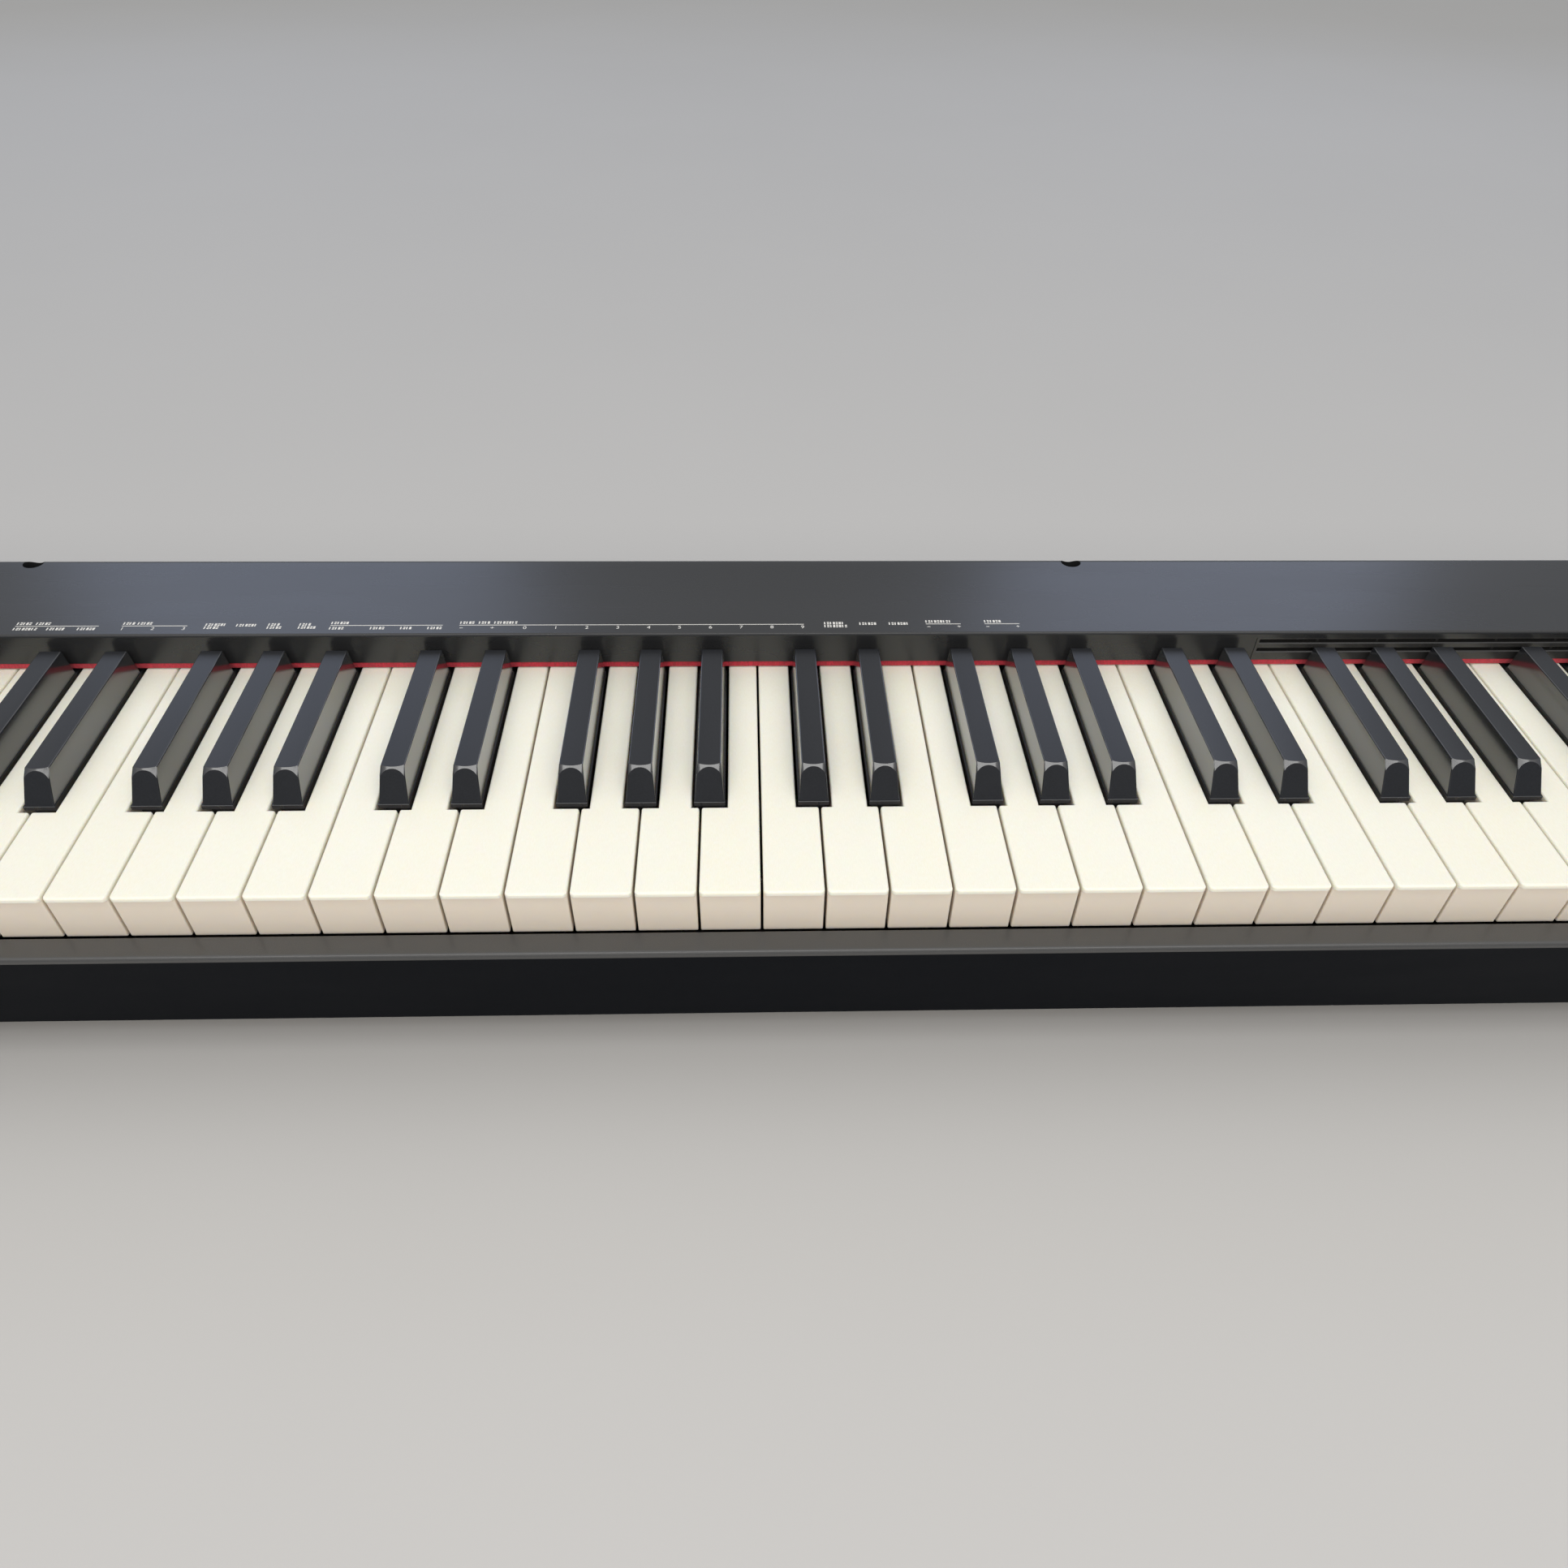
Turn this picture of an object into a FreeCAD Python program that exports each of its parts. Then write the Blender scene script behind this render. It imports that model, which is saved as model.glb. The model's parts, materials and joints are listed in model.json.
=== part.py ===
"""Slim 88-key digital piano, resting on its rubber feet.

Row frame in millimetres: origin at the middle of the footprint on the floor, +X towards the treble,
+Y away from the player, +Z up. One STEP file per sub-part goes to parts/.
"""

import FreeCAD, Part
import math
import os

V = FreeCAD.Vector

# ---------------------------------------------------------------- driving dimensions
WIDTH, DEPTH, HEIGHT = 1322.0, 232.0, 99.0
FRONT, BACK = -DEPTH / 2, DEPTH / 2
HALF = WIDTH / 2
FOOT_H = 8.0
SKIN = 3.0  # thickness of the moulded case walls
SEAM = 0.4  # gap between two case mouldings
BODY_FIT = 0.3  # gap around an inset piece

# keyboard
PITCH = 23.5  # white key spacing
WHITES = 52
KEY_GAP = 1.0
KEY_TOP = 82.0
KEY_FRONT = FRONT + 14.0
WHITE_HEAD = 49.0  # front edge to the black keys' notch
WHITE_SHOWN = 148.0  # front edge to the fallboard
KEY_BOTTOM = 62.0
KEY_REAR = 104.0
KEY_WALL = 1.8
KEY_ROOF = 2.2
LIP = 1.0  # how far the key's cap stands over its front face
LIP_H = 1.9
NOTCH = 14.2  # width between white tails for one black key
BLACK_HEIGHT = 11.5
BLACK_BASE_HALF, BLACK_TOP_HALF = 5.75, 4.65
BLACK_FLANGE_HALF = 6.1
BLACK_FRONT = KEY_FRONT + WHITE_HEAD + 3.0
BLACK_RUN = 8.6  # how far the front face leans back over its height
BLACK_EDGE_ROUND = 0.45  # along the top and down the sides of the front face
ARCH_R, ARCH_DROP = 5.1, 0.6  # the arch that ends the front face, and how far below the top its crown is
ARCH_RISE = 36.0  # degrees: how steeply the arch's surface runs back to the top face
CAP_ROUND = 0.8  # along a white key's top edges
BLACK_REAR = KEY_FRONT + WHITE_SHOWN - 3.2
STICK_HALF = 4.8
PIVOT_Y, PIVOT_Z, PIVOT_R = 98.0, 68.0, 2.0
RUN_FIT = 0.05  # radial clearance of a hole that turns on its rod

# case
WALL_Y = KEY_FRONT + WHITE_SHOWN  # front face of the fallboard
WALL_FOOT = KEY_TOP + 3.0
FELT_FOOT = KEY_TOP + 0.6
REAR_ROUND = 6.0
EDGE_ROUND = 1.2
RAIL_TOP = 65.0
RAIL_BACK = KEY_FRONT - 3.0
RAIL_ROUND = 1.6
RAIL_LIP = 2.1  # height of the rail's nose
RAIL_FOOT = 52.0  # lower end of the leg that clips behind the case wall
CASE_TOP = RAIL_TOP - RAIL_LIP - SEAM
CASE_FRONT_FOOT = FRONT + 19.0  # the front wall leans back to here
BLOCK_X = WHITES * PITCH / 2 + 0.5  # inner face of the end blocks
REAR_SPLIT = 58.0  # lower case below, top panel above
REST_X, REST_R, REST_DEEP = 246.5, 4.7, 20.0
REST_Y = BACK - REAR_ROUND

# sound slots
GRILLE_X0, GRILLE_X1 = 319.0, 607.0
SLOT_Z = (8.1, 12.4)  # heights of the two slots above the white keys
SLOT_H = 1.9
SLOT_BEVEL = 0.4  # along each slot's lower lip
SLOT_POST_PITCH = 27.5

# controls on the top panel, at the bass end
CONTROL_Y = 84.0
POWER_X, POWER_R = -632.0, 6.5
SLIDER_X, SLIDER_TRAVEL, SLIDER_STAND = -588.0, 30.0, 4.6
BUTTON_X = {"function_button": -536.0, "grand_piano_button": -508.0, "electric_piano_button": -480.0}
BUTTON_L, BUTTON_W = 17.0, 7.0
BUTTON_STAND = 1.6
LAMP_X, LAMP_R = -614.0, 1.2

# underneath
FOOT_R = 12.0
FEET = [(x, y) for x in (-575.0, 0.0, 575.0) for y in (-72.0, 92.0)]
STAND_X, STAND_Y, STAND_R = 595.0, 55.0, 2.5  # bolts sit at +-STAND_X, and +-STAND_Y about STAND_MID_Y
STAND_MID_Y = 15.0
INSERT_R, INSERT_H = 4.0, 12.0
BATTERY = (-652.0, -618.0, -62.0, 94.0)  # opening for the battery cover
BATTERY_TOP = 30.0
SCREWS = [(x, y) for x in (-500.0, -300.0, -100.0, 100.0, 300.0, 500.0) for y in (-60.0, 30.0)]

# inside
BENCH = FOOT_H + SKIN  # top face of the case floor
LEDGE = 49.0  # top of the frame's front ledge
DECK_Z = (41.0, 43.5)
REAR_DECK_Z = (54.0, 57.0)
HAMMER_Y, HAMMER_Z, HAMMER_R = -40.0, 31.0, 2.0
HAMMER_HALF = 3.0
BOARD_T = 1.6
SOCKETS = (-190.0, -70.0, 20.0, 42.0)  # x0, x1, z0, z1 of the socket mouldings
SOCKET_RADII = (2.8, 3.3, 3.3, 1.9)  # power, pedal, phones, audio
SOCKET_DEEP = 10.0
USB_W, USB_H = 8.8, 8.0
SPEAKER_X, SPEAKER_Z = 500.0, 33.0

# single keys that move; the others are joined into four nodes
FIRST_MOVING, LAST_MOVING = 48 + 12, 48 + 35  # C4 to B5 as note numbers
LOWEST, HIGHEST = 21, 108
NAMES = ["C", "C_sharp", "D", "D_sharp", "E", "F", "F_sharp", "G", "G_sharp", "A", "A_sharp", "B"]
IS_BLACK = [n.endswith("sharp") for n in NAMES]


# ---------------------------------------------------------------- small helpers
def box(x0, x1, y0, y1, z0, z1):
    return Part.makeBox(x1 - x0, y1 - y0, z1 - z0, V(x0, y0, z0))


def rod(radius, start, end):
    start, end = V(*start), V(*end)
    return Part.makeCylinder(radius, (end - start).Length, start, end - start)


def side_prism(points, x0, x1):
    """A (y, z) outline pushed along X."""
    ring = [V(x0, y, z) for y, z in points]
    return Part.Face(Part.makePolygon(ring + ring[:1])).extrude(V(x1 - x0, 0, 0))


def plan_prism(points, z0, z1):
    """An (x, y) outline pushed up."""
    ring = [V(x, y, z0) for x, y in points]
    return Part.Face(Part.makePolygon(ring + ring[:1])).extrude(V(0, 0, z1 - z0))


def pill(xc, yc, length, width, z0, z1):
    """A plate with round ends, long in X."""
    r, reach = width / 2, (length - width) / 2
    body = box(xc - reach, xc + reach, yc - r, yc + r, z0, z1)
    ends = [rod(r, (xc + s * reach, yc, z0), (xc + s * reach, yc, z1)) for s in (-1, 1)]
    return body.multiFuse(ends).removeSplitter()


def rounded(shape, radius, wanted):
    """The shape with the edges that wanted() picks rounded."""
    return shape.makeFillet(radius, [e for e in shape.Edges if wanted(e)])


def edge_at(edge, **near):
    """True if both ends of the edge have these coordinates, such as x=3."""
    return all(abs(getattr(v.Point, k) - value) < 0.01 for v in edge.Vertexes for k, value in near.items())


def save(name, *shapes):
    solids = [s for shape in shapes for s in shape.Solids]
    whole = solids[0] if len(solids) == 1 else Part.makeCompound(solids)
    bad = [s for s in solids if not s.isValid() or s.Volume <= 0]
    if bad:
        raise ValueError(f"{name} has {len(bad)} faulty solids")
    whole.exportStep(f"parts/{name}.step")
    print(f"{name}: {len(solids)} solids, {sum(s.Volume for s in solids) / 1000:.1f} cm3")


# ---------------------------------------------------------------- keyboard layout
def white_count(note):
    """How many white keys lie below this note, counted from the lowest key."""
    return sum(not IS_BLACK[n % 12] for n in range(LOWEST, note))


def white_left(note):
    return (white_count(note) - WHITES / 2) * PITCH


def notch_left(note):
    """Left edge of the gap that a black key stands in: white tails within C-E and F-B are equally wide."""
    group = (0, 1, 2, 3, 4) if note % 12 < 5 else (5, 6, 7, 8, 9, 10, 11)
    first = note - note % 12 + group[0]
    whites, blacks = (3, 2) if len(group) == 5 else (4, 3)
    tail = (whites * PITCH - blacks * NOTCH) / whites
    start = octave_left(note) + (0 if len(group) == 5 else 3 * PITCH)
    order = (note - first + 1) // 2
    return start + order * tail + (order - 1) * NOTCH


def octave_left(note):
    """Left edge of the C below the note, also for the two keys below the lowest C."""
    octave = note // 12 - 2
    return (2 - WHITES / 2 + 7 * octave) * PITCH


def key_centre(note):
    """Middle of a key's tail."""
    if IS_BLACK[note % 12]:
        return notch_left(note) + NOTCH / 2
    left, right = tail_span(note)
    return (left + right) / 2


def tail_span(note):
    """Left and right side of a white key's tail."""
    left, right = white_left(note) + KEY_GAP / 2, white_left(note) + PITCH - KEY_GAP / 2
    if note > LOWEST and IS_BLACK[(note - 1) % 12]:
        left = notch_left(note - 1) + NOTCH
    if note < HIGHEST and IS_BLACK[(note + 1) % 12]:
        right = notch_left(note + 1)
    return left, right


def key_name(note):
    colour = "black" if IS_BLACK[note % 12] else "white"
    return f"{colour}_key_{NAMES[note % 12]}{note // 12 - 1}"


# ---------------------------------------------------------------- keys
def white_outline(note, front):
    left, right = white_left(note) + KEY_GAP / 2, white_left(note) + PITCH - KEY_GAP / 2
    tail_left, tail_right = tail_span(note)
    notch = KEY_FRONT + WHITE_HEAD
    points = [(left, front), (right, front)]
    if tail_right < right - 0.01:
        points += [(right, notch), (tail_right, notch)]
    points += [(tail_right, KEY_REAR), (tail_left, KEY_REAR)]
    if tail_left > left + 0.01:
        points += [(tail_left, notch), (left, notch)]
    return points, left, right, tail_left, tail_right


def white_key(note):
    """A one-piece moulded white key: capped top with a lip, hollow below, bored for the pivot rod."""
    points, left, right, tail_left, tail_right = white_outline(note, KEY_FRONT)
    cap = plan_prism(points, KEY_TOP - LIP_H, KEY_TOP)
    notch = KEY_FRONT + WHITE_HEAD
    for x in (left, right):
        cap = rounded(cap, 1.8, lambda e, x=x: edge_at(e, x=x, y=KEY_FRONT))
    for x, tail in ((left, tail_left), (right, tail_right)):
        if abs(x - tail) > 0.01:
            cap = rounded(cap, 0.9, lambda e, x=x: edge_at(e, x=x, y=notch))
    cap = rounded(cap, CAP_ROUND, lambda e: edge_at(e, z=KEY_TOP) and not edge_at(e, y=KEY_REAR))
    face, ceiling = KEY_FRONT + LIP, KEY_TOP - KEY_ROOF - 0.6
    body = plan_prism(white_outline(note, face)[0], KEY_BOTTOM, KEY_TOP - LIP_H)
    body = rounded(body, 0.6, lambda e: e.Length < KEY_TOP - KEY_BOTTOM and edge_at(e, y=face))
    t, low = KEY_WALL, KEY_BOTTOM - 1
    hollows = [
        box(left + t, right - t, face + t, notch - t, low, ceiling),
        box(tail_left + t, tail_right - t, notch - 4, KEY_REAR - t, low, ceiling),
    ]
    centre = (max(left, tail_left) + min(right, tail_right)) / 2
    foot = box(centre - 2.5, centre + 2.5, -72, -66, KEY_BOTTOM - 2, KEY_TOP - KEY_ROOF)
    key = body.cut(hollows[0].fuse(hollows[1])).multiFuse([cap, foot])
    hole = rod(PIVOT_R + RUN_FIT, (left - 1, PIVOT_Y, PIVOT_Z), (right + 1, PIVOT_Y, PIVOT_Z))
    return key.cut(hole).removeSplitter()


def black_key(note):
    """A black key: tapered cap with a leaning front, on a hollow stick that turns on the pivot rod."""
    centre = key_centre(note)
    foot_z, top = KEY_TOP + 0.4, KEY_TOP + BLACK_HEIGHT
    rings = []
    for z, half, front, rear in (
        (foot_z, BLACK_BASE_HALF, BLACK_FRONT, BLACK_REAR),
        (top, BLACK_TOP_HALF, BLACK_FRONT + BLACK_RUN, BLACK_REAR - 0.6),
    ):
        x0, x1 = centre - half, centre + half
        ring = [V(x, y, z) for x, y in ((x0, front), (x1, front), (x1, rear), (x0, rear))]
        rings.append(Part.makePolygon(ring + ring[:1]))
    cap = Part.makeLoft(rings, True, True)
    cap = rounded(cap, BLACK_EDGE_ROUND, lambda e: is_played_edge(e, foot_z, top))
    cap = cap.cut(arch_cutter(centre, top))
    seat = KEY_TOP - 1.4
    left, right = centre - BLACK_FLANGE_HALF, centre + BLACK_FLANGE_HALF
    flange = box(left, right, BLACK_FRONT - 0.6, BLACK_REAR, seat, foot_z)
    flange = rounded(flange, 0.25, lambda e: edge_at(e, y=BLACK_FRONT - 0.6, z=foot_z))
    stick = box(centre - STICK_HALF, centre + STICK_HALF, BLACK_FRONT + 3, KEY_REAR, KEY_BOTTOM, seat)
    inner = STICK_HALF - 1.6
    hollow = box(
        centre - inner, centre + inner, BLACK_FRONT + 4.6, KEY_REAR - KEY_WALL, KEY_BOTTOM - 1, KEY_TOP - 5
    )
    core = box(centre - 2.7, centre + 2.7, BLACK_FRONT + 11, BLACK_REAR - 3, KEY_TOP - 6, top - 2.5)
    reach = 2 * STICK_HALF
    hole = rod(PIVOT_R + RUN_FIT, (centre - reach, PIVOT_Y, PIVOT_Z), (centre + reach, PIVOT_Y, PIVOT_Z))
    return stick.multiFuse([flange, cap]).cut(Part.makeCompound([hollow, core, hole])).removeSplitter()


def is_played_edge(edge, low, high):
    """True for the long top edges and the two sides of the front face."""
    points = [v.Point for v in edge.Vertexes]
    if edge_at(edge, z=high):
        return abs(points[0].x - points[1].x) < 0.01
    on_foot = any(abs(p.z - low) < 0.01 for p in points)
    return on_foot and not edge_at(edge, z=low) and max(p.y for p in points) < BLACK_FRONT + BLACK_RUN + 0.01


def arch_cutter(centre, top):
    """What is cut from the front corners of a black key's top, leaving an arch."""
    rise = top - KEY_TOP - 0.4
    slope = V(0, BLACK_RUN, rise).normalize()
    edge = V(centre, BLACK_FRONT + BLACK_RUN, top)
    crown = edge - slope * ARCH_DROP
    middle = crown - slope * ARCH_R
    side = V(ARCH_R, 0, 0)
    wide, tall = V(8, 0, 0), slope * (ARCH_R + 6)
    arc = Part.Arc(middle - side, crown, middle + side).toShape()
    right = [middle + side, middle + wide, middle + wide + tall]
    left = [middle - wide + tall, middle - wide, middle - side]
    outline = Part.Wire([arc, *Part.makePolygon(right + left).Edges])
    angle = math.radians(ARCH_RISE)
    along = V(0, math.cos(angle), math.sin(angle))
    face = Part.Face(outline)
    face.translate(along * -6)
    return face.extrude(along * 30)


def keyboard():
    for note in range(FIRST_MOVING, LAST_MOVING + 1):
        save(key_name(note), black_key(note) if IS_BLACK[note % 12] else white_key(note))
    for part, notes in (
        ("bass", range(LOWEST, FIRST_MOVING)),
        ("treble", range(LAST_MOVING + 1, HIGHEST + 1)),
    ):
        save(f"white_keys_{part}", *[white_key(n) for n in notes if not IS_BLACK[n % 12]])
        save(f"black_keys_{part}", *[black_key(n) for n in notes if IS_BLACK[n % 12]])


# ---------------------------------------------------------------- case
def lower_case():
    """Open tray with a leaning front wall, battery bay, screw seats and bosses for the stand inserts."""
    lean = (CASE_FRONT_FOOT - (FRONT + 0.6)) / (CASE_TOP - FOOT_H)
    outer = side_prism(
        [(FRONT + 0.6, CASE_TOP), (CASE_FRONT_FOOT, FOOT_H), (BACK, FOOT_H), (BACK, CASE_TOP)], -HALF, HALF
    )
    outer = rounded(outer, 3.0, lambda e: edge_at(e, z=FOOT_H))
    outer = rounded(outer, 0.5, lambda e: edge_at(e, y=FRONT + 0.6, z=CASE_TOP))
    inset = lean * SKIN
    inner = side_prism(
        [
            (FRONT + 0.6 + SKIN, CASE_TOP + 1),
            (CASE_FRONT_FOOT + SKIN - inset, BENCH),
            (BACK - SKIN, BENCH),
            (BACK - SKIN, CASE_TOP + 1),
        ],
        -HALF + SKIN,
        HALF - SKIN,
    )
    tray = outer.cut(inner)
    back_step = box(-HALF - 1, HALF + 1, WALL_Y, BACK + 1, REAR_SPLIT, CASE_TOP + 2)
    x0, x1, y0, y1 = BATTERY
    bay = box(x0 - 2, x1 + 2, y0 - 2, y1 + 2, FOOT_H, BATTERY_TOP + 2)
    bay_inside = box(x0, x1, y0, y1, FOOT_H - 1, BATTERY_TOP)
    ledges = [box(x0, x1, y, y + 2, FOOT_H + 2.4, BATTERY_TOP) for y in (y0, y1 - 2)]
    bosses = [rod(INSERT_R + 3, (x, y, FOOT_H), (x, y, FOOT_H + INSERT_H + 3)) for x, y in stand_points()]
    seats = [rod(INSERT_R, (x, y, FOOT_H - 1), (x, y, FOOT_H + INSERT_H)) for x, y in stand_points()]
    for x, y in SCREWS:
        seats.append(rod(4.0, (x, y, FOOT_H - 1), (x, y, FOOT_H + 1.4)))
        seats.append(rod(1.9, (x, y, FOOT_H), (x, y, BENCH + 1)))
    sx0, sx1, sz0, sz1 = SOCKETS
    inside, outside = BACK - SKIN - 1, BACK + 1
    window = box(sx0 - BODY_FIT, sx1 + BODY_FIT, inside, outside, sz0 - BODY_FIT, sz1 + BODY_FIT)
    vents = []
    for side in (-1, 1):
        for k in range(-7, 8):
            x = side * SPEAKER_X + 7.5 * k
            reach = 16.0 * math.sqrt(1 - (k / 8.0) ** 2)
            vents.append(box(x - 1.6, x + 1.6, inside, outside, SPEAKER_Z - reach, SPEAKER_Z + reach))
    case = tray.cut(back_step).multiFuse([bay, *bosses])
    case = case.cut(bay_inside.fuse(window)).multiFuse(ledges)
    return case.cut(Part.makeCompound(seats + vents)).removeSplitter()


def stand_points():
    return [(x, STAND_MID_Y + s * STAND_Y) for x in (-STAND_X, STAND_X) for s in (-1, 1)]


def front_rail():
    """The strip along the front of the keys: flat top, rounded nose and a screwed foot inside."""
    outline = [
        (RAIL_BACK, RAIL_TOP),
        (FRONT, RAIL_TOP),
        (FRONT, RAIL_TOP - RAIL_LIP),
        (RAIL_BACK - 2.5, RAIL_TOP - RAIL_LIP),
        (RAIL_BACK - 2.5, RAIL_FOOT),
        (RAIL_BACK, RAIL_FOOT),
    ]
    rail = side_prism(outline, -BLOCK_X + SEAM, BLOCK_X - SEAM)
    rail = rounded(rail, RAIL_ROUND, lambda e: edge_at(e, y=FRONT, z=RAIL_TOP))
    return rounded(rail, 0.5, lambda e: edge_at(e, y=RAIL_BACK, z=RAIL_TOP))


def end_block(side):
    """Cheek block beside the keys: a hollow cover that slopes down to the front."""
    x_in, x_out = BLOCK_X, HALF
    foot = CASE_TOP + SEAM
    outline = [(FRONT, foot), (FRONT, 87.0), (WALL_Y - SEAM, HEIGHT), (WALL_Y - SEAM, foot)]
    block = side_prism(outline, x_in, x_out)
    block = rounded(block, 7.0, lambda e: edge_at(e, y=FRONT, z=87.0))
    block = rounded(block, 1.5, lambda e: along_side(e, x_out, foot + 0.5))
    block = rounded(block, 1.0, lambda e: along_side(e, x_in, 85.0))
    front, rear = FRONT + SKIN, WALL_Y - 3
    inner = [(front, foot - 1), (front, 84.0), (rear, HEIGHT - SKIN - 0.4), (rear, foot - 1)]
    block = block.cut(side_prism(inner, x_in + SKIN, x_out - SKIN))
    return block if side > 0 else block.mirror(V(0, 0, 0), V(1, 0, 0))


def along_side(edge, x, lowest):
    """True for an edge of an end block's side face at x, above a height and not at the rear."""
    middle = edge.CenterOfMass
    return middle.z > lowest and abs(middle.x - x) < 0.01 and abs(middle.y - (WALL_Y - SEAM)) > 0.05


def top_panel():
    """Upper case: control panel, fallboard wall, rear wall and the sockets for the music rest."""
    outline = [
        (WALL_Y, WALL_FOOT),
        (WALL_Y, HEIGHT),
        (BACK, HEIGHT),
        (BACK, REAR_SPLIT + SEAM),
        (BACK - SKIN, REAR_SPLIT + SEAM),
        (BACK - SKIN, HEIGHT - SKIN - 2.0),
        (BACK - SKIN - 2.0, HEIGHT - SKIN),
        (WALL_Y + SKIN, HEIGHT - SKIN),
        (WALL_Y + SKIN, WALL_FOOT),
    ]
    shell = side_prism(outline, -HALF, HALF)
    shell = rounded(shell, REAR_ROUND, lambda e: edge_at(e, y=BACK, z=HEIGHT))
    shell = rounded(shell, EDGE_ROUND, lambda e: edge_at(e, y=WALL_Y, z=HEIGHT))
    split = REAR_SPLIT + SEAM
    end_outline = [
        (WALL_Y, split),
        (WALL_Y, HEIGHT - 1.5),
        (BACK - 6, HEIGHT - 1.5),
        (BACK - 1, HEIGHT - 7),
        (BACK - 1, split),
    ]
    trim = box(-HALF, HALF, BACK, BACK + 10, 0, HEIGHT)
    pieces, cuts = [], []
    for side in (-1, 1):
        x, rest = side * HALF, side * REST_X
        pieces.append(side_prism(end_outline, min(x, x - side * SKIN), max(x, x - side * SKIN)))
        pieces.append(box(*sorted((side * BLOCK_X, x)), WALL_Y, WALL_Y + SKIN, split, WALL_FOOT))
        boss = rod(REST_R + 1.2, (rest, REST_Y, HEIGHT - REST_DEEP - 2), (rest, REST_Y, HEIGHT - SKIN))
        pieces.append(boss.cut(trim))
        cuts.append(rod(REST_R, (rest, REST_Y, HEIGHT - REST_DEEP), (rest, REST_Y, HEIGHT + 1)))
        x0, x1 = sorted((side * (GRILLE_X0 - BODY_FIT), side * (GRILLE_X1 + BODY_FIT)))
        cuts.append(box(x0, x1, WALL_Y - 1, WALL_Y + SKIN + 1, WALL_FOOT - 1, HEIGHT - SKIN))
    body = shell.multiFuse(pieces)
    z0, z1 = HEIGHT - SKIN - 1, HEIGHT + 1
    cuts.append(rod(POWER_R + BODY_FIT, (POWER_X, CONTROL_Y, z0), (POWER_X, CONTROL_Y, z1)))
    cuts.append(rod(LAMP_R, (LAMP_X, CONTROL_Y, z0), (LAMP_X, CONTROL_Y, z1)))
    cuts.append(pill(SLIDER_X, CONTROL_Y, SLIDER_TRAVEL + 6.0, 3.0, z0, z1))
    for x in BUTTON_X.values():
        cuts.append(pill(x, CONTROL_Y, BUTTON_L + 2 * BODY_FIT, BUTTON_W + 2 * BODY_FIT, z0, z1))
    return body.cut(Part.makeCompound(cuts)).removeSplitter()


def sound_grille(side):
    """Insert in the fallboard wall with two long slots, bridged by small posts at its back."""
    plate = box(GRILLE_X0, GRILLE_X1, WALL_Y, WALL_Y + SKIN, WALL_FOOT, HEIGHT - SKIN)
    x0, x1 = GRILLE_X0 + 1.2, GRILLE_X1 - 1.2
    cuts = []
    for height in SLOT_Z:
        low, high = KEY_TOP + height - SLOT_H / 2, KEY_TOP + height + SLOT_H / 2
        y = WALL_Y - 1
        bevel = [(y, low - SLOT_BEVEL - 1), (y, high), (y + 2, high), (WALL_Y + SLOT_BEVEL, low)]
        cuts += [box(x0, x1, y, WALL_Y + SKIN + 1, low, high), side_prism(bevel, x0, x1)]
    grille = plate.cut(Part.makeCompound(cuts))
    posts = []
    for k in range(1, int((x1 - x0) / SLOT_POST_PITCH) + 1):
        x = x0 + SLOT_POST_PITCH * k
        posts.append(box(x - 0.6, x + 0.6, WALL_Y + 2, WALL_Y + SKIN, WALL_FOOT + 1, HEIGHT - SKIN - 1))
    grille = grille.multiFuse(posts).removeSplitter()
    return grille if side > 0 else grille.mirror(V(0, 0, 0), V(1, 0, 0))


def felt_strip():
    return box(-BLOCK_X + 1, BLOCK_X - 1, WALL_Y + 0.2, WALL_Y + 2.8, FELT_FOOT, WALL_FOOT)


# ---------------------------------------------------------------- controls
def control_button(x):
    cap = pill(x, CONTROL_Y, BUTTON_L, BUTTON_W, HEIGHT - SKIN + 0.5, HEIGHT + BUTTON_STAND)
    cap = rounded(cap, 0.7, lambda e: edge_at(e, z=HEIGHT + BUTTON_STAND))
    flange = pill(x, CONTROL_Y, BUTTON_L + 3, BUTTON_W + 3, HEIGHT - SKIN - 1.4, HEIGHT - SKIN - 0.2)
    neck = pill(x, CONTROL_Y, BUTTON_L, BUTTON_W, HEIGHT - SKIN - 0.2, HEIGHT - SKIN + 0.5)
    return cap.multiFuse([neck, flange]).removeSplitter()


def power_button():
    top = HEIGHT + BUTTON_STAND
    cap = rod(POWER_R, (POWER_X, CONTROL_Y, HEIGHT - SKIN - 0.2), (POWER_X, CONTROL_Y, top))
    cap = rounded(cap, 0.8, lambda e: edge_at(e, z=top))
    low = HEIGHT - SKIN - 1.4
    flange = rod(POWER_R + 1.5, (POWER_X, CONTROL_Y, low), (POWER_X, CONTROL_Y, HEIGHT - SKIN - 0.2))
    return cap.fuse(flange).removeSplitter()


def volume_slider():
    """Slider knob with a ridged top, on a blade that runs in the panel's slot."""
    half_x, half_y, top = 5.0, 4.0, HEIGHT + SLIDER_STAND
    y0, y1, low = CONTROL_Y - half_y, CONTROL_Y + half_y, HEIGHT + 0.6
    knob = box(SLIDER_X - half_x, SLIDER_X + half_x, y0, y1, low, top)
    knob = rounded(knob, 1.0, lambda e: e.CenterOfMass.z > low + 0.1)
    lines = (SLIDER_X - 2, SLIDER_X, SLIDER_X + 2)
    grooves = [box(x - 0.3, x + 0.3, y0, y1, top - 0.6, top + 1) for x in lines]
    blade = box(SLIDER_X - 2, SLIDER_X + 2, CONTROL_Y - 0.9, CONTROL_Y + 0.9, HEIGHT - SKIN - 4, HEIGHT + 1)
    return knob.cut(Part.makeCompound(grooves)).fuse(blade).removeSplitter()


def power_lamp():
    return rod(LAMP_R - 0.1, (LAMP_X, CONTROL_Y, HEIGHT - SKIN - 1), (LAMP_X, CONTROL_Y, HEIGHT + 0.3))


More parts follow.
